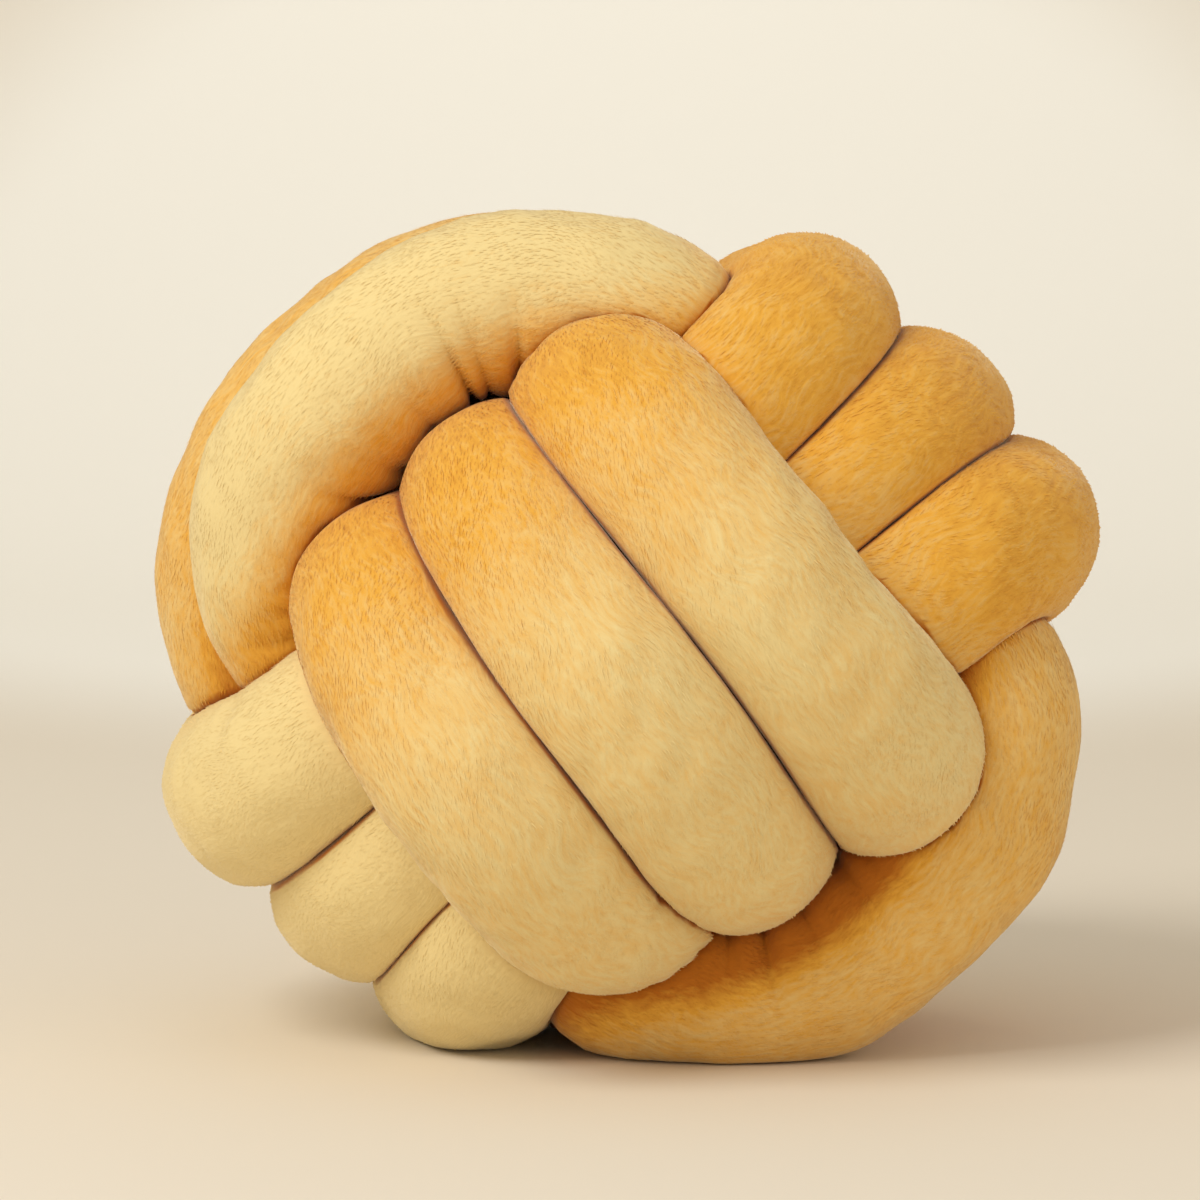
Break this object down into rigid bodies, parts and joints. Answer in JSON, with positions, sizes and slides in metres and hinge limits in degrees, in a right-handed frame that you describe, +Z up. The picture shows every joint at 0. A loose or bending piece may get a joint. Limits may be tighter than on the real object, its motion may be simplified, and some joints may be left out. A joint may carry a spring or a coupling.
{
  "type": "knot cushion",
  "caption": "Ball-shaped cushion made of one long stuffed plush tube, tied into a tight ball knot whose turns cross in side-by-side bands.",
  "frame": {"origin": "middle of the ball's outline in plan, on the surface it stands on", "axes": "+Z up, and -Y towards the viewer: the face whose turns lie on top of the other bands looks along -Y and a little up"},
  "size_m": [0.28, 0.2852, 0.2437],
  "materials": {
    "yellow_plush": "short brushed plush pile, matt with a soft sheen"
  },
  "bodies": {
    "root": {"knotted_tube": "yellow_plush"}
  },
  "joints": []
}
